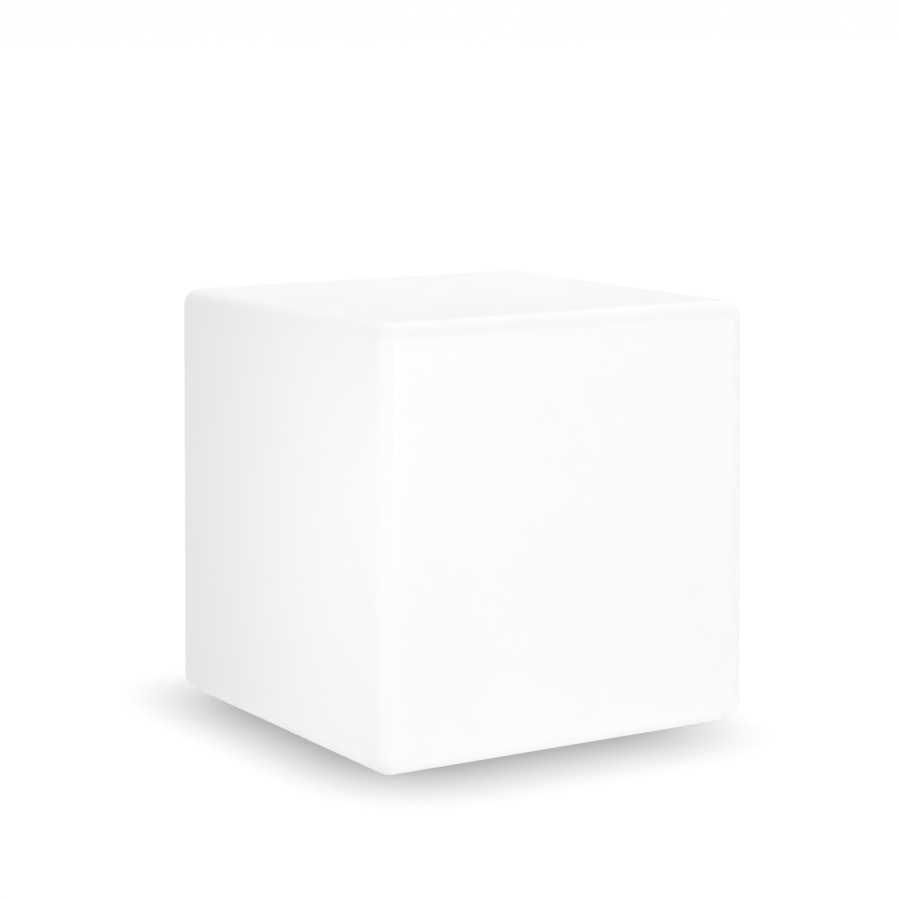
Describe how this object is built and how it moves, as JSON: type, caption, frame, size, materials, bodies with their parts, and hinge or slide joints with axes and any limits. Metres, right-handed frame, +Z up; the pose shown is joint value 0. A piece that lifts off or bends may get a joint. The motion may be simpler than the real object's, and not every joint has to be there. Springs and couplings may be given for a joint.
{
  "type": "cube light",
  "caption": "Portable cube light: a hollow translucent white shell on rubber feet, lit from within by a sealed battery module with a push button underneath.",
  "frame": {"origin": "middle of the footprint, on the ground under the feet", "axes": "+Z up, -Y out of the side that faces the viewer more squarely in the picture"},
  "size_m": [0.3996, 0.3996, 0.402],
  "materials": {
    "opal_shell": "satin translucent white polyethylene",
    "foot_rubber": "matt grey rubber",
    "seal_rubber": "matt black rubber",
    "housing_plastic": "fine-textured light grey moulding",
    "button_plastic": "satin dark grey moulding",
    "cover_rubber": "matt dark grey rubber",
    "clear_plastic": "clear polished",
    "black_plastic": "matt black",
    "white_plastic": "natural nylon",
    "opal_dome": "opal, lightly glossy",
    "steel": "bright zinc-plated steel",
    "spring_steel": "drawn stainless wire",
    "brass": "bare brass",
    "nickel": "nickel-plated",
    "sheet_aluminium": "brushed sheet",
    "pad_grey": "soft thermal pad",
    "board_green": "solder mask over glass laminate",
    "board_white": "white solder mask",
    "emitter": "phosphor in a white package",
    "component_black": "matt moulded package",
    "capacitor_can": "bare can",
    "cell_can": "film-wrapped steel can",
    "sleeve_film": "shrunk film",
    "lead_jacket": "flat light grey cable"
  },
  "bodies": {
    "cube": {"shell": "opal_shell", "module_inserts": "brass", "rubber_feet": "foot_rubber", "module_gasket": "seal_rubber", "flange_screws": "steel", "base_housing": "housing_plastic", "button_spring": "spring_steel", "push_switch": "black_plastic", "charging_socket": "black_plastic", "socket_contacts": "nickel", "socket_seal": "seal_rubber", "socket_nut": "nickel", "cover_anchor": "cover_rubber", "light_pipe": "clear_plastic", "indicator_lamp": "emitter", "control_board": "board_green", "board_chips": "component_black", "board_inductor": "component_black", "board_capacitors": "capacitor_can", "wire_headers": "white_plastic", "board_screws": "steel", "battery_cells": "cell_can", "cell_strips": "nickel", "battery_sleeve": "sleeve_film", "battery_tray": "black_plastic", "tray_screws": "steel", "battery_ties": "white_plastic", "mounting_plate": "sheet_aluminium", "plate_screws": "steel", "thermal_pad": "pad_grey", "led_board": "board_white", "led_emitters": "emitter", "lead_grommet": "seal_rubber", "dome_seal": "seal_rubber", "diffuser_dome": "opal_dome", "dome_screws": "steel", "battery_lead": "lead_jacket", "led_lead": "lead_jacket", "socket_lead": "lead_jacket"},
    "power_button": {"button_cap": "button_plastic", "button_seal": "seal_rubber", "button_clip": "steel"},
    "switch_plunger": {"switch_plunger": "white_plastic"},
    "port_cover": {"port_cover": "cover_rubber"}
  },
  "joints": [
    {"name": "power_button", "type": "slide", "parent": "cube", "child": "power_button", "axis": [0, 0, 1], "range_m": [0, 0.0015], "stiffness_N_per_m": 400, "springref_m": -0.002, "deforming": ["button_spring"]},
    {"name": "switch_plunger", "type": "slide", "parent": "cube", "child": "switch_plunger", "axis": [0, 0, 1], "range_m": [0, 0.0015]},
    {"name": "port_cover", "type": "hinge", "parent": "cube", "child": "port_cover", "pos_m": [0.0315, 0, 0.0251], "axis": [0, -1, 0], "range_deg": [0, 100]}
  ],
  "couplings": [
    {"joint": "switch_plunger", "follows": "power_button", "ratio": 1}
  ]
}
